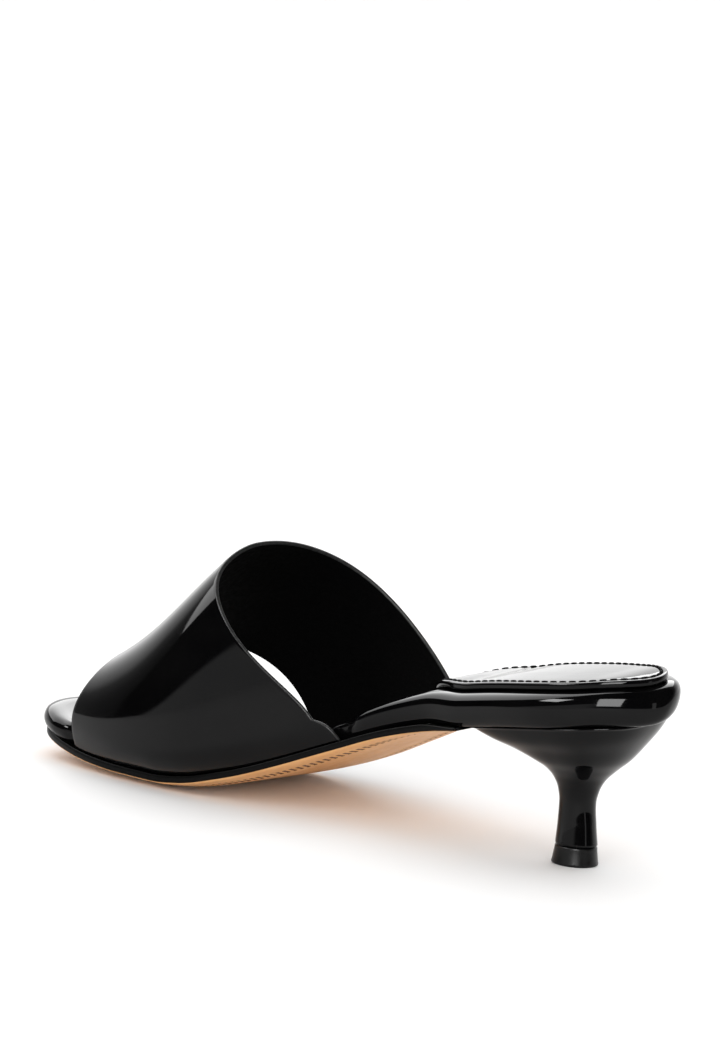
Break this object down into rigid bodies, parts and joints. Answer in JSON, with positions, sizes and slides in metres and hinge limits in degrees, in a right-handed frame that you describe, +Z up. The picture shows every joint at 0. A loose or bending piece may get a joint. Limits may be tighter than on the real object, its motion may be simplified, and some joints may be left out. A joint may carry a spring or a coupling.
{
  "type": "kitten heel sandal",
  "caption": "Slip-on sandal for the right foot: one wide vamp band, open toe and back, padded footbed and a low waisted kitten heel.",
  "frame": {"origin": "on the floor under the middle of the whole shoe's bounding box", "axes": "+Z up, the toe points along -Y and the heel along +Y, +X is the inner side of the right foot"},
  "size_m": [0.0816, 0.2292, 0.0769],
  "materials": {
    "sole_leather": "satin tan sole leather with a black painted edge",
    "footbed_patent": "black patent, high gloss",
    "upper_patent": "black patent, high gloss",
    "pad_patent": "black patent, high gloss",
    "heel_patent": "black patent cover on a hard heel",
    "tip_rubber": "matt black rubber"
  },
  "bodies": {
    "root": {"outsole": "sole_leather", "footbed": "footbed_patent", "upper": "upper_patent", "sock_pad": "pad_patent", "heel": "heel_patent", "heel_tip": "tip_rubber"}
  },
  "joints": []
}
